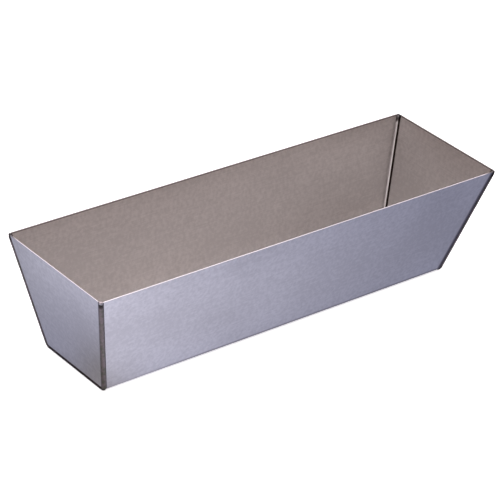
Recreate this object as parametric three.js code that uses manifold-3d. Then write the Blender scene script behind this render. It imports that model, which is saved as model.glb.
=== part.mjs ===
// Drywall mud pan: one folded sheet trough, two flat end caps and the TIG welds that form its corners.
// Millimetres. +X runs along the pan, +Y to the rear, +Z up. The origin is on the resting plane,
// under the middle of the floor.

import * as THREE from 'three';
import { mergeVertices } from 'three/addons/utils/BufferGeometryUtils.js';
import Module from 'manifold-3d';

// ---------------------------------------------------------------- driving dimensions

// Outside sizes of the pan. The floor is measured to the sharp corners that its bends round off.
const rimLength = 355.6;
const rimWidth = 105.9;
const floorLength = 310.1;
const floorWidth = 66.6;
const panHeight = 86.8;

// Sheet and bend. The radius is measured on the outside of the sheet.
const sheetThickness = 0.8;
const troughBendRadius = 4;

// Corner seam. Its weld metal forms the corner and reaches this far in from it, on the wall and on the cap.
// The bead stands out past the sharp corner by the crown. Its toes are sunk below both faces of the sheet.
const seamReach = 2.5;
const seamCrownHeight = 0.2;
const seamToeDepth = 0.2;
const seamRootToeDepth = 0.05;
const seamFit = 0.05;

// Tack at the top of each corner seam. It is widest at the shoulder, which lies this far below the rim.
// Its middle lies this deep in from both faces, and it reaches past the edges of the sheets by the lap.
const tackHeight = 3.2;
const tackShoulderDepth = 1.3;
const tackDepth = 0.95;
const tackLap = 0.2;

// Facets in the bend, and in each side of the bead.
const troughBendFacets = 12;
const seamFacets = 10;

// ---------------------------------------------------------------- values that follow

const wallLean = Math.atan((rimWidth - floorWidth) / 2 / panHeight);
const endSlope = (rimLength - floorLength) / 2 / panHeight;
const endLean = Math.atan(endSlope);

// A cap's thickness along the pan: it leans, so the sheet is cut obliquely.
const capThicknessAlongPan = sheetThickness / Math.cos(endLean);

// Both sheets stop this far in from the corner.
const sheetEdge = seamReach + seamFit;

const tackRadius = seamReach + tackLap - tackDepth;

// Shapes run this far past the planes that trim them.
const overrun = 10;

// ---------------------------------------------------------------- solids

const wasm = await Module();
wasm.setup();

function toSolid(geometry) {
  const bare = geometry.clone();
  bare.deleteAttribute('normal');
  bare.deleteAttribute('uv');
  const merged = mergeVertices(bare, 1e-5);
  return new wasm.Manifold(new wasm.Mesh({
    numProp: 3,
    vertProperties: new Float32Array(merged.attributes.position.array),
    triVerts: new Uint32Array(merged.index.array),
  }));
}

function toGeometry(solid) {
  const mesh = solid.getMesh();
  const geometry = new THREE.BufferGeometry();
  geometry.setAttribute('position', new THREE.BufferAttribute(new Float32Array(mesh.vertProperties), 3));
  geometry.setIndex(new THREE.BufferAttribute(new Uint32Array(mesh.triVerts), 1));
  geometry.computeVertexNormals();
  return geometry;
}

// Leans upright work at the right end outwards, so that its x = 0 plane becomes the outside of the cap.
const leanOut = new THREE.Matrix4()
  .makeTranslation(floorLength / 2, 0, 0)
  .multiply(new THREE.Matrix4().makeShear(0, 0, 0, 0, endSlope, 0));

function boxBetween(low, high) {
  const geometry = new THREE.BoxGeometry(high[0] - low[0], high[1] - low[1], high[2] - low[2]);
  geometry.translate((low[0] + high[0]) / 2, (low[1] + high[1]) / 2, (low[2] + high[2]) / 2);
  return geometry;
}

// A box at the right end that lies between two depths in from the outside of the cap, and two heights.
function endSlab(shallow, deep, bottom, top) {
  const halfWidth = rimWidth / 2 + overrun;
  return toSolid(boxBetween([-deep, -halfWidth, bottom], [-shallow, halfWidth, top]).applyMatrix4(leanOut));
}

// ---------------------------------------------------------------- cross-section of the pan

// The section is a U with leaning walls, drawn with x for the pan's Y and y for its Z.
// inset moves it into the pan from the outside of the sheet, square to the sheet.
function sectionSide(inset) {
  const top = panHeight + overrun;
  return {
    top,
    topHalfWidth: floorWidth / 2 + top * Math.tan(wallLean) - inset / Math.cos(wallLean),
    bendCentre: floorWidth / 2 + troughBendRadius * (Math.tan(wallLean) - 1 / Math.cos(wallLean)),
    bendRadius: troughBendRadius - inset,
  };
}

// From the foot of the rear wall, across the floor and up the front wall.
function drawRearToFront(shape, side) {
  shape.absarc(side.bendCentre, troughBendRadius, side.bendRadius, -wallLean, -Math.PI / 2, true);
  shape.absarc(-side.bendCentre, troughBendRadius, side.bendRadius, -Math.PI / 2, wallLean - Math.PI, true);
  shape.lineTo(-side.topHalfWidth, side.top);
}

// Down the front wall, across the floor and up the rear wall.
function drawFrontToRear(shape, side) {
  shape.lineTo(-side.topHalfWidth, side.top);
  shape.absarc(-side.bendCentre, troughBendRadius, side.bendRadius, wallLean - Math.PI, -Math.PI / 2, false);
  shape.absarc(side.bendCentre, troughBendRadius, side.bendRadius, -Math.PI / 2, -wallLean, false);
  shape.lineTo(side.topHalfWidth, side.top);
}

// Everything inside the section at one inset, open to above the rim.
function filledSection(inset) {
  const side = sectionSide(inset);
  const shape = new THREE.Shape();
  drawRearToFront(shape, side);
  shape.lineTo(side.topHalfWidth, side.top);
  return shape;
}

// The U-shaped band between two insets.
function bandSection(outerInset, innerInset) {
  const outer = sectionSide(outerInset);
  const shape = new THREE.Shape();
  drawRearToFront(shape, outer);
  drawFrontToRear(shape, sectionSide(innerInset));
  shape.lineTo(outer.topHalfWidth, outer.top);
  return shape;
}

// Extrudes a section from x = start to x = end.
function alongPan(shape, start, end) {
  const geometry = new THREE.ExtrudeGeometry(shape, {
    depth: end - start,
    curveSegments: troughBendFacets / 2,
    bevelEnabled: false,
  });
  const axes = new THREE.Matrix4().makeBasis(
    new THREE.Vector3(0, 1, 0),
    new THREE.Vector3(0, 0, 1),
    new THREE.Vector3(1, 0, 0),
  );
  return geometry.applyMatrix4(axes).translate(start, 0, 0);
}

// ---------------------------------------------------------------- sheet pieces

function buildTrough() {
  const reach = rimLength / 2 + overrun;
  const folded = toSolid(alongPan(bandSection(0, sheetThickness), -reach, reach));
  const rightEnd = endSlab(-2 * reach, sheetEdge, -overrun, panHeight + 2 * overrun);
  const leftEnd = rightEnd.rotate([0, 0, 180]);
  const aboveRim = toSolid(boxBetween(
    [-2 * reach, -rimWidth, panHeight],
    [2 * reach, rimWidth, panHeight + 2 * overrun],
  ));
  return folded.subtract(rightEnd).subtract(leftEnd).subtract(aboveRim);
}

// A flat plate whose edge follows the trough's section, a seam's reach inside it.
function buildRightCap() {
  const plate = alongPan(filledSection(sheetEdge), -capThicknessAlongPan, 0).applyMatrix4(leanOut);
  return toSolid(plate).intersect(endSlab(-overrun, 2 * overrun, -overrun, panHeight));
}

// ---------------------------------------------------------------- welds

// The line of the right corner down one wall and round its bend, before it is leaned out. The wall is the
// first step and each facet of the bend is one more. side is 1 at the rear and -1 at the front.
// The rear one runs down from the rim and the front one runs up to it, so that both turn the same way.
class CornerLine extends THREE.Curve {
  constructor(side) {
    super();
    this.side = side;
    this.wallShare = 1 / (1 + troughBendFacets);
  }

  getUtoTmapping(u) {
    return u;
  }

  getPoint(t, target = new THREE.Vector3()) {
    const share = this.side > 0 ? t : 1 - t;
    const section = sectionSide(0);
    const turned = Math.max(share - this.wallShare, 0) / (1 - this.wallShare);
    const angle = -wallLean - turned * (Math.PI / 2 - wallLean);
    const toTop = Math.max(1 - share / this.wallShare, 0);
    const bendY = section.bendCentre + section.bendRadius * Math.cos(angle);
    const bendZ = troughBendRadius + section.bendRadius * Math.sin(angle);
    const y = bendY + toTop * (section.topHalfWidth - bendY);
    return target.set(0, this.side * y, bendZ + toTop * (section.top - bendZ));
  }
}

// Section of the bead, drawn with x for the distance in from the end and y for the distance out of the pan.
function beadSection() {
  const crownMiddle = (seamReach + seamToeDepth) / 2;
  const crownHalfWidth = (seamReach - seamToeDepth) / Math.SQRT2;
  const crownRise = crownMiddle * Math.SQRT2 + seamCrownHeight;
  const rootToe = sheetThickness - seamRootToeDepth;
  const diagonal = Math.PI / 4;
  const shape = new THREE.Shape();
  shape.absellipse(crownMiddle, -crownMiddle, crownHalfWidth, crownRise, 0, Math.PI, false, diagonal);
  shape.lineTo(rootToe, -seamReach);
  shape.quadraticCurveTo(rootToe, -rootToe, seamReach, -rootToe);
  return shape;
}

// Keeps what lies above the resting plane, which the underside is dressed level with, and below the tacks.
function trimSeam(geometry) {
  const reach = rimLength / 2 + overrun;
  const room = toSolid(boxBetween([0, -rimWidth, 0], [reach, rimWidth, panHeight - tackHeight]));
  return toSolid(geometry.applyMatrix4(leanOut)).intersect(room);
}

// The seam up one wall, with its bend.
function buildRightWallSeam(side) {
  return trimSeam(new THREE.ExtrudeGeometry(beadSection(), {
    steps: 1 + troughBendFacets,
    curveSegments: seamFacets,
    extrudePath: new CornerLine(side),
  }));
}

// The seam across the floor, between the two bends.
function buildRightFloorSeam() {
  const reach = sectionSide(0).bendCentre - seamFit;
  const run = new THREE.ExtrudeGeometry(beadSection(), {
    depth: 2 * reach,
    curveSegments: seamFacets,
    bevelEnabled: false,
  });
  const axes = new THREE.Matrix4().makeBasis(
    new THREE.Vector3(-1, 0, 0),
    new THREE.Vector3(0, 0, -1),
    new THREE.Vector3(0, -1, 0),
  );
  return trimSeam(run.applyMatrix4(axes).translate(0, reach, 0));
}

// One corner tack: a drop that fills the corner above the seam and is dressed level with the rim.
function buildRightTack(side) {
  const drop = new THREE.SphereGeometry(1, 20, 14);
  const shoulder = panHeight - tackShoulderDepth;
  const wall = floorWidth / 2 + shoulder * Math.tan(wallLean) - tackDepth / Math.cos(wallLean);
  drop.scale(tackRadius, tackRadius, tackHeight - tackShoulderDepth);
  drop.rotateX(-side * wallLean);
  drop.translate(-tackDepth, side * wall, shoulder);
  const wallRoom = toSolid(alongPan(bandSection(-seamFit, sheetThickness + seamFit), -2 * overrun, -seamReach)
    .applyMatrix4(leanOut));
  const capRoom = toSolid(alongPan(filledSection(seamReach), -capThicknessAlongPan - seamFit, seamFit)
    .applyMatrix4(leanOut));
  const room = endSlab(-overrun, 2 * overrun, panHeight - tackHeight + seamFit, panHeight);
  return toSolid(drop.applyMatrix4(leanOut)).subtract(wallRoom).subtract(capRoom).intersect(room);
}

// ---------------------------------------------------------------- scene graph

const steel = { color: 0xa9aab4, roughness: 0.38, metalness: 0.9 };
const weldMetal = { color: 0x6a605b, roughness: 0.55, metalness: 0.8 };

const pan = new THREE.Group();

function addNode(name, solid, finish, turn = 0) {
  const mesh = new THREE.Mesh(toGeometry(solid), new THREE.MeshStandardMaterial(finish));
  mesh.name = name;
  mesh.rotation.z = turn;
  pan.add(mesh);
}

addNode('trough', buildTrough(), steel);

const cap = buildRightCap();
const floorSeam = buildRightFloorSeam();
const wallSeams = { plus: buildRightWallSeam(1), minus: buildRightWallSeam(-1) };
const tacks = { plus: buildRightTack(1), minus: buildRightTack(-1) };

// The left end is the right end turned half way round, so its front pieces are the right end's rear ones.
const ends = [
  { name: 'right', turn: 0, front: 'minus', rear: 'plus' },
  { name: 'left', turn: Math.PI, front: 'plus', rear: 'minus' },
];
for (const end of ends) {
  addNode(`${end.name}_end_cap`, cap, steel, end.turn);
  addNode(`${end.name}_front_seam_weld`, wallSeams[end.front], weldMetal, end.turn);
  addNode(`${end.name}_floor_seam_weld`, floorSeam, weldMetal, end.turn);
  addNode(`${end.name}_rear_seam_weld`, wallSeams[end.rear], weldMetal, end.turn);
  addNode(`${end.name}_front_rim_tack`, tacks[end.front], weldMetal, end.turn);
  addNode(`${end.name}_rear_rim_tack`, tacks[end.rear], weldMetal, end.turn);
}

export default pan;
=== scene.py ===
# Looks of the drywall mud pan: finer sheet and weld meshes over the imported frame, their steel, and a small
# studio round them. Metres. +X runs along the pan, +Y to the rear, +Z up, as in the frame.

import math

import bmesh
import bpy
from mathutils import Matrix, Vector, noise


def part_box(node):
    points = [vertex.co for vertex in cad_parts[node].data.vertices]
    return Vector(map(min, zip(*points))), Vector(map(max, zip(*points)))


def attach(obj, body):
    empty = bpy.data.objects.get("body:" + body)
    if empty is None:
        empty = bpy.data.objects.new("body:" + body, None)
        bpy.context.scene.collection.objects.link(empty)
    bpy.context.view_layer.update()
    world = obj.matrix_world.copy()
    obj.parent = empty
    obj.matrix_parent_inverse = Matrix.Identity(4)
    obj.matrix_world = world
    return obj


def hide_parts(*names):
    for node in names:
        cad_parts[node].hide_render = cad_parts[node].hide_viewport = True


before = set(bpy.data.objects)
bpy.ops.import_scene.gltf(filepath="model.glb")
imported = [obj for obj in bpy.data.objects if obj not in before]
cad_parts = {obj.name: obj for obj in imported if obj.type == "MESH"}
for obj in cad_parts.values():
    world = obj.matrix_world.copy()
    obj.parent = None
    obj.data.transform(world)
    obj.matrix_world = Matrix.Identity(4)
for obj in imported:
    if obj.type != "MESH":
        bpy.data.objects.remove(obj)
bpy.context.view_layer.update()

# ---------------------------------------------------------------- sizes

MM = 0.001

# The pan's reach and height are the frame's. The rest repeats the driving sizes of the CAD source.
RIM_HALF_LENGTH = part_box("right_end_cap")[1].x
RIM_HALF_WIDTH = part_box("trough")[1].y
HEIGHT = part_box("trough")[1].z
FLOOR_HALF_LENGTH = 155.05 * MM
FLOOR_HALF_WIDTH = 33.3 * MM
SHEET = 0.8 * MM
TROUGH_BEND = 4 * MM

# The weld metal forms the corner, and both sheets stop this far in from it.
SEAM_REACH = 2.5 * MM

# What follows from them.
WALL_LEAN = math.atan((RIM_HALF_WIDTH - FLOOR_HALF_WIDTH) / HEIGHT)
WALL_SLOPE = math.tan(WALL_LEAN)
END_SLOPE = (RIM_HALF_LENGTH - FLOOR_HALF_LENGTH) / HEIGHT
PANEL_ALONG = SHEET / math.cos(math.atan(END_SLOPE))
BEND_CENTRE = FLOOR_HALF_WIDTH + TROUGH_BEND * (WALL_SLOPE - 1 / math.cos(WALL_LEAN))
BEND_TURN = math.pi / 2 - WALL_LEAN

# Radius left on the sheared edges of the sheet, and how far the flat sheets dish between their edges.
SHEARED_EDGE = 0.16 * MM
WALL_DISH = 0.16 * MM
PANEL_DISH = 0.12 * MM
DISH_PITCH_ALONG = 60 * MM
DISH_PITCH_UP = 70 * MM
DISH_EASES_IN = 0.4 * HEIGHT


def wall_reach(z):
    """Half the outside width of the pan at height z, with the bends not yet rounded."""
    return FLOOR_HALF_WIDTH + z * WALL_SLOPE


def end_reach(z):
    """Half the outside length of the pan at height z."""
    return FLOOR_HALF_LENGTH + z * END_SLOPE


# ---------------------------------------------------------------- meshes


class Skin:
    """Gathers grids and bands of points that share their edges into one closed mesh."""

    WELD = 1e-7

    def __init__(self):
        self.mesh = bmesh.new()

    def face(self, corners):
        self.mesh.faces.new([self.mesh.verts.new(corner) for corner in corners])

    def grid(self, rows):
        for lower, upper in zip(rows, rows[1:]):
            for i in range(len(lower) - 1):
                self.face((lower[i], lower[i + 1], upper[i + 1], upper[i]))

    def band(self, loop, next_loop):
        """Joins two closed loops of as many points."""
        for i in range(len(loop)):
            self.face((loop[i - 1], loop[i], next_loop[i], next_loop[i - 1]))

    def lid(self, loop):
        """Closes a loop with triangles that meet at its middle."""
        middle = sum(loop, Vector()) / len(loop)
        for i in range(len(loop)):
            self.face((loop[i - 1], loop[i], middle))

    def piece(self, name, material):
        bmesh.ops.remove_doubles(self.mesh, verts=self.mesh.verts, dist=self.WELD)
        bmesh.ops.recalc_face_normals(self.mesh, faces=self.mesh.faces)
        made = bpy.data.meshes.new(name)
        self.mesh.to_mesh(made)
        self.mesh.free()
        made.shade_smooth()
        made.materials.append(material)
        piece = bpy.data.objects.new(name, made)
        bpy.context.scene.collection.objects.link(piece)
        return piece


def steps(count):
    """count + 1 even shares from 0 to 1."""
    return [i / count for i in range(count + 1)]


def guarded(count, guards):
    """Even shares from 0 to 1, with more of them close to both ends, where the shape turns."""
    near = list(guards) + [1 - guard for guard in guards]
    return sorted(steps(count) + near)


FLOOR_SHARES = sorted(steps(10) + [0.985])
WALL_SHARES = guarded(26, (0.004, 0.015))[1:]
TROUGH_TURNS = [BEND_TURN * share for share in steps(12)][1:]
LENGTH_SHARES = [2 * share - 1 for share in guarded(96, (0.0006, 0.003))]
ACROSS_SHARES = [-share for share in FLOOR_SHARES[:0:-1]] + FLOOR_SHARES


def half_section(inset, top):
    """Points (y, z) of the rear half at one inset, from the middle of the floor up to the height top."""
    points = [(BEND_CENTRE * share, inset) for share in FLOOR_SHARES]
    radius = TROUGH_BEND - inset
    for turn in TROUGH_TURNS:
        points.append((BEND_CENTRE + radius * math.sin(turn), TROUGH_BEND - radius * math.cos(turn)))
    foot = points[-1][1]
    for share in WALL_SHARES:
        z = foot + (top - foot) * share
        points.append((wall_reach(z) - inset / math.cos(WALL_LEAN), z))
    return points


def full_section(inset, top):
    """The whole section, from the front rim down, across the floor and up to the rear rim."""
    rear = half_section(inset, top)
    return [(-y, z) for y, z in rear[:0:-1]] + rear


def edge_layers():
    """Layers through the sheet as (share of its thickness, how far its rounded edge draws back)."""
    turns = [math.pi / 2 * share for share in steps(3)]
    outer = []
    for turn in turns:
        depth = SHEARED_EDGE * (1 - math.cos(turn)) / SHEET
        outer.append((depth, SHEARED_EDGE * (1 - math.sin(turn))))
    return outer + [(1 - share, pull) for share, pull in outer[::-1]]


def border(rows):
    """The outline of a grid of points, once round."""
    last_points = [row[-1] for row in rows[1:-1]]
    first_points = [row[0] for row in rows[-2:0:-1]]
    return rows[0] + last_points + rows[-1][::-1] + first_points


def build_sheet(name, layers, material):
    """A piece of sheet from the grids of its layers: both faces, and the rounded edge between them."""
    skin = Skin()
    skin.grid(layers[0])
    skin.grid(layers[-1])
    for layer, next_layer in zip(layers, layers[1:]):
        skin.band(border(layer), border(next_layer))
    return skin.piece(name, material)


def swell(share):
    """0 at both ends of a share from 0 to 1, level there, and 1 in the middle."""
    return math.sin(math.pi * min(max(share, 0), 1)) ** 2


# ---------------------------------------------------------------- trough


def dish(x, z, seed):
    """How far a long wall is drawn in at a place: it eases in and out a little along its length."""
    along = swell(0.5 + x / (2 * RIM_HALF_LENGTH))
    up = min(max((z - TROUGH_BEND) / DISH_EASES_IN, 0), 1)
    ease = 0.5 + 0.5 * noise.noise(Vector((x / DISH_PITCH_ALONG, z / DISH_PITCH_UP, seed)))
    return WALL_DISH * along * up * up * (3 - 2 * up) * ease


def trough_rows(depth, pull):
    """The trough's surface at a share of its thickness, with its edges drawn back."""
    rows = []
    for y, z in full_section(depth * SHEET, HEIGHT - pull):
        reach = end_reach(z) - SEAM_REACH - pull
        row = []
        for share in LENGTH_SHARES:
            x = reach * share
            side = math.copysign(1, y)
            row.append(Vector((x, y - side * dish(x, z, side), z)))
        rows.append(row)
    return rows


def build_trough(material):
    return build_sheet("trough_sheet", [trough_rows(depth, pull) for depth, pull in edge_layers()], material)


# ---------------------------------------------------------------- end caps


def end_point(end, y, z, s):
    """A point at one end, -1 left or 1 right, at a depth s in from the outside of its panel."""
    return Vector((end * (end_reach(z) - s), y, z))


def cap_rows(end, depth, pull):
    """A cap's surface at a share of its thickness: rows across the pan, from the floor up to the rim."""
    top = HEIGHT - pull
    rows = []
    for half_width, z in half_section(SEAM_REACH + pull, top)[len(FLOOR_SHARES) - 1:]:
        up = swell((z - SEAM_REACH) / (top - SEAM_REACH))
        row = []
        for share in ACROSS_SHARES:
            sunk = PANEL_DISH * up * swell((share + 1) / 2)
            row.append(end_point(end, half_width * share, z, depth * PANEL_ALONG + sunk))
        rows.append(row)
    return rows


def build_cap(name, end, material):
    return build_sheet(name, [cap_rows(end, depth, pull) for depth, pull in edge_layers()], material)


# ---------------------------------------------------------------- welds

# The bead is half an ellipse laid across the corner, its toes sunk below both sheets and let into their
# edges. Its root inside the pan laps a little over both sheets. It necks in where it runs under a tack.
BEAD_REACH = SEAM_REACH + 0.05 * MM
BEAD_TOE = 0.2 * MM
BEAD_MIDDLE = (BEAD_REACH + BEAD_TOE) / 2
BEAD_CROWN = 0.17 * MM
CROWN_DRIFT = 8 * MM
ROOT_TOE = SHEET + 0.05 * MM
ROOT_REACH = SEAM_REACH + 0.25 * MM
ROOT_WAVE = 0.25 * MM
ROOT_DRIFT = 4 * MM
BEAD_STEP = 0.2 * MM
RIPPLE_PITCH = 1.2 * MM
RIPPLE_HEIGHT = 0.07 * MM
RIPPLE_TRAIL = 0.9 * MM
NECK_LENGTH = 1.4 * MM
NECK_IN = 0.4
TACK_SHOULDER = 1.5 * MM
TACK_DROP = 1.9 * MM
TACK_DEPTH = 1.2 * MM
TACK_RADIUS = 1.5 * MM
TACK_LUMP = 0.06
TACK_LUMPS = 1.7
TACK_LUMP_HEIGHT = 1.2 * MM
LIT_TACK_TOP = 0.78
SHADED_TACK_TOP = 0.5
FOOT_LENGTH = BEND_CENTRE + TROUGH_BEND * BEND_TURN

# A wall seam runs from the edge of the flat floor up into the tack's shoulder.
FOOT_HEIGHT = TROUGH_BEND * (1 - math.sin(WALL_LEAN))
WALL_RUN_STOP = FOOT_LENGTH + (HEIGHT - TACK_SHOULDER - FOOT_HEIGHT) / math.cos(WALL_LEAN)


def seam_point(end, side, length, s, inset):
    """A point of a seam, a length up the outside of the section from the middle of the floor."""
    if length < BEND_CENTRE:
        y, z = length, inset
    elif length < FOOT_LENGTH:
        turn = (length - BEND_CENTRE) / TROUGH_BEND
        radius = TROUGH_BEND - inset
        y = BEND_CENTRE + radius * math.sin(turn)
        z = TROUGH_BEND - radius * math.cos(turn)
    else:
        up = length - FOOT_LENGTH
        radius = TROUGH_BEND - inset
        y = BEND_CENTRE + radius * math.cos(WALL_LEAN) + up * math.sin(WALL_LEAN)
        z = TROUGH_BEND - radius * math.sin(WALL_LEAN) + up * math.cos(WALL_LEAN)
    return end_point(end, side * y, max(z, 0), s)


def bead_outline(length, seed):
    """The section of a bead at one place of its seam as (s, inset): over its crown, back along its root."""
    half_width = (BEAD_REACH - BEAD_TOE) / math.sqrt(2)
    drift = noise.noise(Vector((length / CROWN_DRIFT, seed, 0)))
    rise = BEAD_MIDDLE * math.sqrt(2) + BEAD_CROWN * (1 + 0.5 * drift)
    points = []
    for share in guarded(18, (0.01,)):
        turn = math.pi * share
        trail = length + RIPPLE_TRAIL * math.sin(turn)
        beat = abs(math.sin(math.pi * trail / RIPPLE_PITCH)) ** 0.7
        grow = 1 + RIPPLE_HEIGHT * (beat - 1) * math.sin(turn) / rise
        along = half_width * math.cos(turn) * grow
        out = rise * math.sin(turn) * grow
        s = BEAD_MIDDLE + (along - out) / math.sqrt(2)
        inset = BEAD_MIDDLE - (along + out) / math.sqrt(2)
        points.append((s, inset))
    hollow = ROOT_TOE + ROOT_WAVE * noise.noise(Vector((length / ROOT_DRIFT, seed, 9)))
    for share in guarded(10, (0.02,)):
        near = (1 - share) ** 2
        turn_in = 2 * share * (1 - share)
        far = share ** 2
        s = near * ROOT_TOE + turn_in * hollow + far * ROOT_REACH
        inset = near * ROOT_REACH + turn_in * hollow + far * ROOT_TOE
        points.append((s, inset))
    return points


def neck(length):
    """How much of its section a bead keeps: all of it but close under a tack, where it necks in."""
    under_tack = min(max((length - WALL_RUN_STOP) / NECK_LENGTH + 1, 0), 1)
    return 1 - NECK_IN * (1 - math.sqrt(1 - under_tack ** 2))


def bead_ring(end, side, length, seed):
    """The section of a bead in its place, necked in where it runs under a tack."""
    keep = neck(length)
    ring = []
    for s, inset in bead_outline(length, seed):
        s = BEAD_MIDDLE + (s - BEAD_MIDDLE) * keep
        inset = BEAD_MIDDLE + (inset - BEAD_MIDDLE) * keep
        ring.append(seam_point(end, side, length, s, inset))
    return ring


def build_bead(name, end, side, start, stop, seed, material):
    count = round((stop - start) / BEAD_STEP)
    rings = [bead_ring(end, side, start + (stop - start) * share, seed) for share in steps(count)]
    skin = Skin()
    for ring, next_ring in zip(rings, rings[1:]):
        skin.band(ring, next_ring)
    skin.lid(rings[0])
    skin.lid(rings[-1])
    return skin.piece(name, material)


def tack_ring(end, side, z, size, seed):
    """The outline of a tack at one height, as a share of its full size."""
    ring = []
    for share in steps(32)[:-1]:
        turn = 2 * math.pi * share
        round_place = Vector((math.cos(turn), math.sin(turn), 0)) * TACK_LUMPS
        lump = noise.noise(round_place + Vector((0, seed, z / TACK_LUMP_HEIGHT)))
        radius = TACK_RADIUS * size * (1 + TACK_LUMP * lump)
        s = TACK_DEPTH + radius * math.cos(turn)
        inset = TACK_DEPTH + radius * math.sin(turn)
        y = wall_reach(z) - inset / math.cos(WALL_LEAN)
        ring.append(end_point(end, side * y, z, s))
    return ring


def build_tack(name, end, side, seed, top_share, material):
    """A drop of weld metal at the rim: round below, widest at its shoulder, and narrower at its level top."""
    rings = []
    for share in steps(9)[1:]:
        turn = math.pi / 2 * share
        rings.append((HEIGHT - TACK_SHOULDER - TACK_DROP * math.cos(turn), math.sin(turn)))
    for share in steps(6)[1:]:
        turn = math.pi / 2 * share
        size = top_share + (1 - top_share) * math.cos(turn)
        rings.append((HEIGHT - TACK_SHOULDER * (1 - math.sin(turn)), size))
    loops = [tack_ring(end, side, z, size, seed) for z, size in rings]
    skin = Skin()
    for loop, next_loop in zip(loops, loops[1:]):
        skin.band(loop, next_loop)
    skin.lid(loops[0])
    skin.lid(loops[-1])
    return skin.piece(name, material)


# ---------------------------------------------------------------- materials


class Tree:
    """Short ways to add nodes to one material, or to the world round the pan."""

    def __init__(self, owner, place="Object"):
        owner.use_nodes = True
        self.nodes = owner.node_tree.nodes
        self.links = owner.node_tree.links
        self.place = self.nodes.new("ShaderNodeTexCoord").outputs[place]

    def put(self, socket, value):
        if isinstance(value, bpy.types.NodeSocket):
            self.links.new(value, socket)
        else:
            socket.default_value = value

    def math(self, operation, first, second=0.0, clamp=False):
        node = self.nodes.new("ShaderNodeMath")
        node.operation = operation
        node.use_clamp = clamp
        self.put(node.inputs[0], first)
        self.put(node.inputs[1], second)
        return node.outputs[0]

    def axes(self):
        """The x, y and z of the place being coloured."""
        node = self.nodes.new("ShaderNodeSeparateXYZ")
        self.put(node.inputs[0], self.place)
        return node.outputs

    def fade(self, value, low, high, at_low=0.0, at_high=1.0):
        """Eases from at_low to at_high as value goes from low to high."""
        node = self.nodes.new("ShaderNodeMapRange")
        node.interpolation_type = "SMOOTHSTEP"
        self.put(node.inputs["Value"], value)
        self.put(node.inputs["From Min"], low)
        self.put(node.inputs["From Max"], high)
        self.put(node.inputs["To Min"], at_low)
        self.put(node.inputs["To Max"], at_high)
        return node.outputs["Result"]

    def grain(self, size, detail=2.0, turn=0.0):
        """Noise from 0 to 1 whose features are size = (x, y, z) metres, turned about Y."""
        mapping = self.nodes.new("ShaderNodeMapping")
        mapping.inputs["Rotation"].default_value = (0, turn, 0)
        mapping.inputs["Scale"].default_value = [1 / step for step in size]
        self.put(mapping.inputs["Vector"], self.place)
        node = self.nodes.new("ShaderNodeTexNoise")
        node.inputs["Scale"].default_value = 1
        node.inputs["Detail"].default_value = detail
        self.put(node.inputs["Vector"], mapping.outputs[0])
        return node.outputs["Fac"]

    def mix(self, share, first, second, blend="MIX"):
        node = self.nodes.new("ShaderNodeMix")
        node.data_type = "RGBA"
        node.blend_type = blend
        self.put(node.inputs["Factor"], share)
        self.put(node.inputs["A"], first)
        self.put(node.inputs["B"], second)
        return node.outputs["Result"]

    def bump(self, height, depth, under=None):
        """Surface relief whose height from 0 to 1 stands for depth metres."""
        node = self.nodes.new("ShaderNodeBump")
        node.inputs["Strength"].default_value = 1
        node.inputs["Distance"].default_value = depth
        self.put(node.inputs["Height"], height)
        if under is not None:
            self.put(node.inputs["Normal"], under)
        return node.outputs[0]


def tone(red, green, blue):
    return (red, green, blue, 1.0)


def blank(name):
    """A new material, its node tree and its shader."""
    material = bpy.data.materials.new(name)
    tree = Tree(material)
    return material, tree, tree.nodes["Principled BSDF"]


STEEL = tone(0.72, 0.69, 0.674)
# The duller tone of the sheet, also laid on as painted shade half way up the pan.
STEEL_DULL_AND_SHADE = tone(0.56, 0.535, 0.523)
# Tones painted on edges: highlight and shade on the rim's top. The shade is also painted under the rim and on
# the foot of a long wall, and the darkest tone also marks scorched corners.
EDGE_HIGHLIGHT = tone(0.9, 0.86, 0.87)
EDGE_DIM_HIGHLIGHT = tone(0.68, 0.64, 0.66)
EDGE_SHADE = tone(0.27, 0.245, 0.24)
EDGE_SCORCH_AND_SHADE = tone(0.17, 0.15, 0.15)
STRAW = tone(0.5, 0.4, 0.3)
SCALE_BLUE = tone(0.13, 0.125, 0.15)
# Black for oxide on the welds, and for painted shade in the crevice beside a root, at a bead's toes, by the
# ground and under a tack.
OXIDE_AND_SHADE = tone(0.03, 0.022, 0.02)
ROOT_CLEAN = tone(0.56, 0.53, 0.52)
# A painted highlight along the middle of the weld's root inside the pan.
ROOT_HIGHLIGHT = tone(0.8, 0.77, 0.75)
BEAD = tone(0.23, 0.185, 0.175)
BEAD_OLIVE = tone(0.15, 0.145, 0.105)
# The tack at the front left is painted as a lit grey with a painted highlight on its top, the others as
# shaded black copies of it.
LIT_TACK_GREY = tone(0.42, 0.39, 0.38)
TACK_TOP_HIGHLIGHT = tone(0.5, 0.44, 0.46)
SHADED_TACK_BLACK = tone(0.055, 0.05, 0.052)

# How much duller the sheet is painted half way up the pan: a band of painted shade.
MIDDLE_SHADE_DULL = 0.35

# How far heat has tinted the sheet beside a weld. At the trough's right end the tint reaches further: painted
# shade beside that seam over its heat tint.
LEFT_HEAT_REACH = 0.3 * MM
RIGHT_HEAT_AND_SHADE_REACH = 2.8 * MM

# How far from the wall the painted black shade of the crevice beside the weld's root lies on the inside of an
# end panel.
ROOT_SHADE_STOP = 3.9 * MM

# How far the rim is scorched from its front right and rear left corners.
SCORCH_REACH = 12 * MM

# Heights over the ground between which the painted contact shade on the foot of a long wall runs out.
CONTACT_SHADE_FULL = 2.5 * MM
CONTACT_SHADE_TOP = 3.9 * MM

# Depths below the top of the rim: the painted shade line inside it, and its edge painted with highlight and
# shade.
RIM_SHADE_LINE = 0.95 * MM
RIM_LIGHT_AND_SHADE_EDGE = 0.4 * MM


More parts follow.
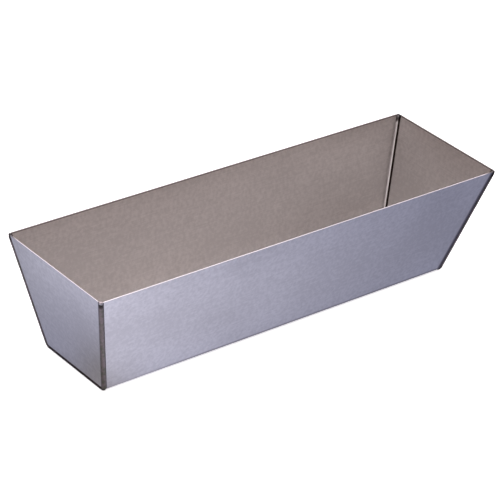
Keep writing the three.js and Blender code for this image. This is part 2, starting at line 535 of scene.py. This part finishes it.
def seam_depth(tree, x, z):
    """Depth in from the outside of the nearer end panel, along the pan."""
    reach = tree.math("MULTIPLY_ADD", z, END_SLOPE)
    reach.node.inputs[2].default_value = FLOOR_HALF_LENGTH
    return tree.math("SUBTRACT", reach, tree.math("ABSOLUTE", x))


def skin_depth(tree, y, z):
    """Depth in from the outside of the nearer wall or of the floor."""
    reach = tree.math("MULTIPLY_ADD", z, WALL_SLOPE)
    reach.node.inputs[2].default_value = FLOOR_HALF_WIDTH
    from_wall = tree.math("SUBTRACT", reach, tree.math("ABSOLUTE", y))
    square = tree.math("MULTIPLY", from_wall, math.cos(WALL_LEAN))
    return tree.math("MINIMUM", square, z)


def rim_highlight_and_shade(tree, along, x, y):
    """Painted highlight on the rim: bright in front, fading to the right, less on the left end; painted shade
    behind and at the right end.
    """
    if along == "X":
        front = tree.mix(tree.fade(x, -RIM_HALF_LENGTH, RIM_HALF_LENGTH), EDGE_HIGHLIGHT, EDGE_DIM_HIGHLIGHT)
        scorched = tree.fade(x, RIM_HALF_LENGTH - SCORCH_REACH, RIM_HALF_LENGTH - 0.4 * SCORCH_REACH)
        front = tree.mix(scorched, front, EDGE_SCORCH_AND_SHADE)
        return tree.mix(tree.fade(y, -MM, MM), front, EDGE_SHADE)
    scorched = tree.fade(y, RIM_HALF_WIDTH - SCORCH_REACH, RIM_HALF_WIDTH - 0.4 * SCORCH_REACH)
    left = tree.mix(scorched, EDGE_DIM_HIGHLIGHT, EDGE_SCORCH_AND_SHADE)
    return tree.mix(tree.fade(x, -MM, MM), left, EDGE_SCORCH_AND_SHADE)


def steel(name, along):
    """Mill-finished stainless sheet with its grain along X or Y, tinted by heat beside the weld."""
    material, tree, shader = blank(name)
    x, y, z = tree.axes()
    fine = (26 * MM, 0.35 * MM, 0.35 * MM)
    broad = (60 * MM, 1.6 * MM, 1.6 * MM)
    if along == "Y":
        fine = (0.35 * MM, 26 * MM, 0.35 * MM)
        broad = (1.6 * MM, 60 * MM, 1.6 * MM)
    fine_grain = tree.grain(fine, detail=4)
    broad_grain = tree.grain(broad)
    smudge = tree.grain((70 * MM, 55 * MM, 45 * MM), detail=1)
    mottle = tree.grain((2.6 * MM, 2.6 * MM, 2.6 * MM), detail=2)
    scratch = tree.fade(tree.grain((34 * MM, 0.5 * MM, 0.5 * MM), 2, math.radians(24)), 0.70, 0.76)

    # How dull the sheet is at a place: its uneven grain and smudges, and a band of painted shade half way up
    # the pan.
    dull_and_shade = tree.fade(mottle, 0.25, 0.75, 0.0, 0.6)
    dull_and_shade = tree.math("ADD", dull_and_shade, tree.fade(fine_grain, 0.25, 0.75, 0.0, 0.4))
    dull_and_shade = tree.math("ADD", dull_and_shade, tree.fade(smudge, 0.35, 0.7, -0.12, 0.12))
    over_foot = tree.fade(z, 0.1 * HEIGHT, 0.45 * HEIGHT)
    below_rim = tree.fade(z, 0.6 * HEIGHT, HEIGHT, 1.0, 0.0)
    middle_shade = tree.math("MINIMUM", over_foot, below_rim)
    dull_and_shade = tree.math("ADD", dull_and_shade, tree.math("MULTIPLY", middle_shade, MIDDLE_SHADE_DULL))
    colour = tree.mix(dull_and_shade, STEEL, STEEL_DULL_AND_SHADE)

    # Heat tint beside the weld, from scale through straw to clean sheet; at the trough's right end it is
    # widened as painted shade.
    s = seam_depth(tree, x, z)
    d = skin_depth(tree, y, z)
    from_seam, through = (s, d) if along == "X" else (d, s)
    inside = tree.fade(through, 0.6 * SHEET, 0.8 * SHEET)
    outside = tree.math("SUBTRACT", 1.0, inside)
    uneven = tree.math("MULTIPLY", tree.math("SUBTRACT", mottle, 0.5), 0.5 * MM)
    from_seam = tree.math("ADD", from_seam, uneven)
    right_reach = RIGHT_HEAT_AND_SHADE_REACH if along == "X" else LEFT_HEAT_REACH
    reach = tree.fade(x, -MM, MM, LEFT_HEAT_REACH, right_reach)
    heat_and_shade = tree.math("DIVIDE", tree.math("SUBTRACT", from_seam, SEAM_REACH), reach)
    straw = tree.fade(heat_and_shade, 0.5, 1.5, 0.35, 0.0)
    colour = tree.mix(tree.math("MULTIPLY", straw, outside), colour, STRAW)
    scale = tree.fade(heat_and_shade, 0.5, 1.0, 0.9, 0.0)
    colour = tree.mix(tree.math("MULTIPLY", scale, outside), colour, SCALE_BLUE)

    # Inside the pan: a line of painted shade under the rim, and on an end panel painted black shade in the
    # crevice beside the weld's root.
    under_rim = tree.fade(z, HEIGHT - RIM_SHADE_LINE, HEIGHT - 0.8 * RIM_SHADE_LINE)
    colour = tree.mix(tree.math("MULTIPLY", inside, under_rim), colour, EDGE_SHADE)
    if along == "Y":
        root_shade = tree.fade(from_seam, 0.85 * ROOT_SHADE_STOP, ROOT_SHADE_STOP, 1.0, 0.0)
        colour = tree.mix(tree.math("MULTIPLY", inside, root_shade), colour, OXIDE_AND_SHADE)

    # The bend at the foot of a long wall, with painted contact shade where the pan sits on the ground, least
    # at the left end.
    if along == "X":
        out = tree.math("SUBTRACT", tree.math("ABSOLUTE", y), BEND_CENTRE)
        down = tree.math("SUBTRACT", TROUGH_BEND, z)
        square = tree.math("ADD", tree.math("MULTIPLY", out, out), tree.math("MULTIPLY", down, down))
        radius = tree.math("SQRT", square)
        on_bend = tree.fade(radius, TROUGH_BEND - 0.6 * SHEET, TROUGH_BEND - 0.3 * SHEET)
        on_bend = tree.math("MULTIPLY", on_bend, tree.fade(out, 0.2 * TROUGH_BEND, 0.4 * TROUGH_BEND))
        to_right = tree.fade(x, -FLOOR_HALF_LENGTH, -0.4 * FLOOR_HALF_LENGTH, 0.2, 1.0)
        contact_shade = tree.math("MULTIPLY", tree.fade(z, CONTACT_SHADE_FULL, CONTACT_SHADE_TOP, 0.85, 0.0), to_right)
        colour = tree.mix(tree.math("MULTIPLY", contact_shade, on_bend), colour, EDGE_SHADE)

    # The rim itself, painted with highlight and shade.
    rim = tree.fade(z, HEIGHT - RIM_LIGHT_AND_SHADE_EDGE, HEIGHT - 0.5 * RIM_LIGHT_AND_SHADE_EDGE)
    rim = tree.math("MULTIPLY", rim, tree.fade(through, 0.7 * SHEET, 0.85 * SHEET, 1.0, 0.0))
    colour = tree.mix(rim, colour, rim_highlight_and_shade(tree, along, x, y))

    tree.put(shader.inputs["Base Color"], colour)
    rough = tree.fade(fine_grain, 0.25, 0.75, 0.36, 0.42)
    rough = tree.math("ADD", rough, tree.fade(smudge, 0.4, 0.7, 0.0, 0.02))
    rough = tree.math("SUBTRACT", rough, tree.math("MULTIPLY", scratch, 0.06))
    tree.put(shader.inputs["Roughness"], rough)
    shader.inputs["Metallic"].default_value = 1.0
    relief = tree.bump(fine_grain, 0.006 * MM)
    relief = tree.bump(broad_grain, 0.012 * MM, relief)
    relief = tree.bump(scratch, 0.004 * MM, relief)
    tree.put(shader.inputs["Normal"], relief)
    return material


def weld_metal(name, under_rim, top):
    """Weld metal left as it cooled, brown and olive, with the tones given just under the rim and on top."""
    material, tree, shader = blank(name)
    x, y, z = tree.axes()
    patch = tree.grain((4 * MM, 4 * MM, 4 * MM), detail=3)
    speck = tree.grain((0.5 * MM, 0.5 * MM, 0.5 * MM), detail=4)
    s = seam_depth(tree, x, z)
    d = skin_depth(tree, y, z)
    toe = tree.math("MAXIMUM", s, d)
    colour = tree.mix(tree.fade(patch, 0.42, 0.62), BEAD, BEAD_OLIVE)
    colour = tree.mix(tree.fade(speck, 0.5, 0.75, 0.0, 0.45), colour, SCALE_BLUE)
    # Painted shade darkens the bead towards its toes.
    colour = tree.mix(tree.fade(toe, 1.9 * MM, 2.4 * MM, 0.0, 0.8), colour, OXIDE_AND_SHADE)

    # The root is painted black with shade on the side of the end panel, with a painted highlight along its
    # middle, and runs out clean on the side of the wall.
    inside = tree.fade(tree.math("MINIMUM", s, d), 0.5 * MM, 0.7 * MM)
    panel_side = tree.fade(tree.math("SUBTRACT", d, s), 0.3 * MM, 0.7 * MM)
    wall_side = tree.fade(tree.math("SUBTRACT", s, d), 0.3 * MM, 0.9 * MM)
    root = tree.mix(wall_side, ROOT_HIGHLIGHT, ROOT_CLEAN)
    colour = tree.mix(inside, colour, tree.mix(panel_side, root, OXIDE_AND_SHADE))

    # Painted shade darkens the floor seam by the ground and the seam just under a tack. A tack takes the tone
    # given for its sides, and its top has a tone of its own.
    foot = tree.fade(z, 1.5 * MM, 3 * MM, 0.95, 0.0)
    colour = tree.mix(foot, colour, OXIDE_AND_SHADE)
    tack_zone = tree.fade(z, HEIGHT - 6.5 * MM, HEIGHT - 3.8 * MM, 0.0, 0.85)
    colour = tree.mix(tack_zone, colour, under_rim)
    # A tack's level top takes the tone given for it: on the front left tack a painted highlight.
    on_top = tree.fade(z, HEIGHT - 0.25 * MM, HEIGHT - 0.1 * MM)
    colour = tree.mix(on_top, colour, top)

    tree.put(shader.inputs["Base Color"], colour)
    tree.put(shader.inputs["Roughness"], tree.fade(speck, 0.3, 0.7, 0.4, 0.62))
    shader.inputs["Metallic"].default_value = 1.0
    relief = tree.bump(speck, 0.03 * MM)
    tree.put(shader.inputs["Normal"], relief)
    return material


# ---------------------------------------------------------------- the pan


def settle(piece, slot, *nodes):
    """Puts a finished piece in the place of its CAD nodes."""
    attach(piece, "root")
    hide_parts(*nodes)


trough_steel = steel("trough_steel", "X")
cap_steel = steel("cap_steel", "Y")
seam_metal = weld_metal("seam_metal", OXIDE_AND_SHADE, OXIDE_AND_SHADE)
lit_tack_metal = weld_metal("lit_tack_metal", LIT_TACK_GREY, TACK_TOP_HIGHLIGHT)
shaded_tack_metal = weld_metal("shaded_tack_metal", SHADED_TACK_BLACK, SHADED_TACK_BLACK)

settle(build_trough(trough_steel), "trough_sheet", "trough")

for end_name, end in (("left", -1), ("right", 1)):
    cap = build_cap(f"{end_name}_cap_sheet", end, cap_steel)
    settle(cap, "end_cap_sheet", f"{end_name}_end_cap")
    bead = build_bead(f"{end_name}_floor_bead", end, 1, -BEND_CENTRE, BEND_CENTRE, 11 + end, seam_metal)
    settle(bead, "seam_weld", f"{end_name}_floor_seam_weld")
    for side_name, side in (("front", -1), ("rear", 1)):
        seed = 20 + 3 * end + side
        place = f"{end_name}_{side_name}"
        bead = build_bead(f"{place}_bead", end, side, BEND_CENTRE, WALL_RUN_STOP, seed, seam_metal)
        settle(bead, "seam_weld", f"{place}_seam_weld")
        # The front left tack gets the lit tone and the others the shaded one: painted light and shade.
        is_lit_tack = place == "left_front"
        tack_metal = lit_tack_metal if is_lit_tack else shaded_tack_metal
        top_share = LIT_TACK_TOP if is_lit_tack else SHADED_TACK_TOP
        tack = build_tack(f"{place}_tack_drop", end, side, seed, top_share, tack_metal)
        settle(tack, "rim_tack", f"{place}_rim_tack")

# ---------------------------------------------------------------- camera

CAMERA_AZIMUTH = math.radians(-41.8)
CAMERA_ELEVATION = math.radians(29.83)
CAMERA_ROLL = math.radians(5.48)
CAMERA_DISTANCE = 1.7208
CAMERA_TARGET = Vector((-17.56, -12.7, 58.61)) * MM
LENS = 177.55
SENSOR = 36


def add_camera():
    across = math.cos(CAMERA_ELEVATION)
    back = Vector((
        math.sin(CAMERA_AZIMUTH) * across,
        -math.cos(CAMERA_AZIMUTH) * across,
        math.sin(CAMERA_ELEVATION),
    ))
    camera = bpy.data.objects.new("camera", bpy.data.cameras.new("camera"))
    camera.data.lens = LENS
    camera.data.sensor_width = SENSOR
    camera.data.clip_end = 50
    turn = (-back).to_track_quat("-Z", "Y").to_matrix().to_4x4()
    roll = Matrix.Rotation(CAMERA_ROLL, 4, "Z")
    camera.matrix_world = Matrix.Translation(CAMERA_TARGET + back * CAMERA_DISTANCE) @ turn @ roll
    bpy.context.scene.collection.objects.link(camera)
    bpy.context.scene.camera = camera


add_camera()

# ---------------------------------------------------------------- studio

bpy.context.scene.view_settings.view_transform = "Standard"

FLOOR_SIZE = 12.0
FLOOR_WHITE = tone(0.95, 0.95, 0.95)
FLOOR_GLOW = 0.5

# The sky: an even warm tone, a wide soft ring of light that is weaker straight overhead, and a small glow
# low behind the pan on the right. The ring's heights are sines of the angle over the horizon.
SKY_EVEN = tone(0.18, 0.12, 0.1)
RING_LIGHT = tone(2.15, 2.1, 2.2)
RING_LOW = 0.3
RING_FULL = 0.6
RING_FADE = 0.5
RING_TOP = 0.5
BACK_LIGHT = tone(0.33, 0.31, 0.33)
BACK_LIGHT_WIDTH = 6
BACK_LIGHT_WAY = Vector((0.58, 0.79, 0.19)).normalized()


class Patch:
    """A soft patch on the mirrored ground, from its middle and reach in mm, its strength and its tint."""

    def __init__(self, x, y, reach_along, reach_across, strength, tint):
        self.middle = Vector((x, y, 0)) * MM
        self.reach = Vector((reach_along, reach_across, 0)) * MM
        self.tone = tone(*(strength * part for part in tint[:3]))


# What the steel mirrors of the ground: an even blue-grey with a bright strip in front of the pan that fades
# to the right, a bright patch to the left, weaker light to the right and behind, and a shade by the foot of
# the left end.
GROUND_EVEN = tone(0.15, 0.17, 0.29)
COOL_TINT = tone(1.0, 1.0, 1.15)
FRONT_STRIP = Patch(-300, -95, 380, 80, strength=1.12, tint=COOL_TINT)
LEFT_PATCH = Patch(-300, 60, 110, 90, strength=0.85, tint=COOL_TINT)
RIGHT_PATCH = Patch(520, 40, 220, 330, strength=0.37, tint=COOL_TINT)
REAR_PATCH = Patch(150, 170, 330, 110, strength=0.55, tint=tone(1.0, 1.0, 0.95))
FOOT_SHADE = Patch(-172, -28, 34, 34, strength=0.35, tint=tone(1.0, 1.1, 1.6))


def add_floor(name, material, depth):
    """A square plane a little under the pan."""
    skin = Skin()
    half = FLOOR_SIZE / 2
    skin.face([Vector((x, y, 0)) for x, y in ((-half, -half), (half, -half), (half, half), (-half, half))])
    floor = skin.piece(name, material)
    floor.location.z = -depth
    return floor


def floor_white():
    material, tree, shader = blank("floor_white")
    shader.inputs["Base Color"].default_value = FLOOR_WHITE
    shader.inputs["Roughness"].default_value = 0.9
    shader.inputs["Emission Color"].default_value = FLOOR_WHITE
    shader.inputs["Emission Strength"].default_value = FLOOR_GLOW
    return material


def spot(tree, patch):
    """1 at the middle of a patch, falling away smoothly round it."""
    x, y, z = tree.axes()
    across = tree.math("DIVIDE", tree.math("SUBTRACT", x, patch.middle.x), patch.reach.x)
    back = tree.math("DIVIDE", tree.math("SUBTRACT", y, patch.middle.y), patch.reach.y)
    off = tree.math("ADD", tree.math("MULTIPLY", across, across), tree.math("MULTIPLY", back, back))
    return tree.math("EXPONENT", tree.math("MULTIPLY", off, -1.0))


def ground_tone():
    """Glows with the tone of the ground, for the steel to mirror."""
    material, tree, shader = blank("ground_tone")
    colour = GROUND_EVEN
    for patch in (FRONT_STRIP, LEFT_PATCH, RIGHT_PATCH, REAR_PATCH):
        colour = tree.mix(spot(tree, patch), colour, patch.tone, "ADD")
    colour = tree.mix(spot(tree, FOOT_SHADE), colour, FOOT_SHADE.tone, "SUBTRACT")
    shader.inputs["Base Color"].default_value = tone(0, 0, 0)
    shader.inputs["Specular IOR Level"].default_value = 0
    tree.put(shader.inputs["Emission Color"], colour)
    shader.inputs["Emission Strength"].default_value = 1
    return material


def lobe(tree, way, width):
    """1 in one direction of the sky, falling away smoothly round it."""
    node = tree.nodes.new("ShaderNodeVectorMath")
    node.operation = "DOT_PRODUCT"
    tree.put(node.inputs[0], tree.place)
    tree.put(node.inputs[1], way)
    off = tree.math("MULTIPLY", tree.math("SUBTRACT", node.outputs["Value"], 1.0), width)
    return tree.math("EXPONENT", off)


def add_sky():
    world = bpy.data.worlds.new("studio_sky")
    tree = Tree(world, "Generated")
    x, y, z = tree.axes()
    ring = tree.fade(z, RING_LOW, RING_FULL)
    ring = tree.math("MULTIPLY", ring, tree.fade(z, RING_FADE, 1.0, 1.0, RING_TOP))
    ring = tree.mix(1.0, ring, RING_LIGHT, "MULTIPLY")
    back = tree.mix(1.0, lobe(tree, BACK_LIGHT_WAY, BACK_LIGHT_WIDTH), BACK_LIGHT, "MULTIPLY")
    colour = tree.mix(1.0, tree.mix(1.0, SKY_EVEN, ring, "ADD"), back, "ADD")
    tree.put(tree.nodes["Background"].inputs["Color"], colour)
    bpy.context.scene.world = world


# The white floor is what the camera and the shadows see. The steel mirrors the ground's tone in its place.
floor = add_floor("floor", floor_white(), 0.05 * MM)
floor.visible_glossy = False
ground = add_floor("mirrored_ground", ground_tone(), 0.1 * MM)
ground.visible_camera = False
ground.visible_diffuse = False
ground.visible_shadow = False
add_sky()
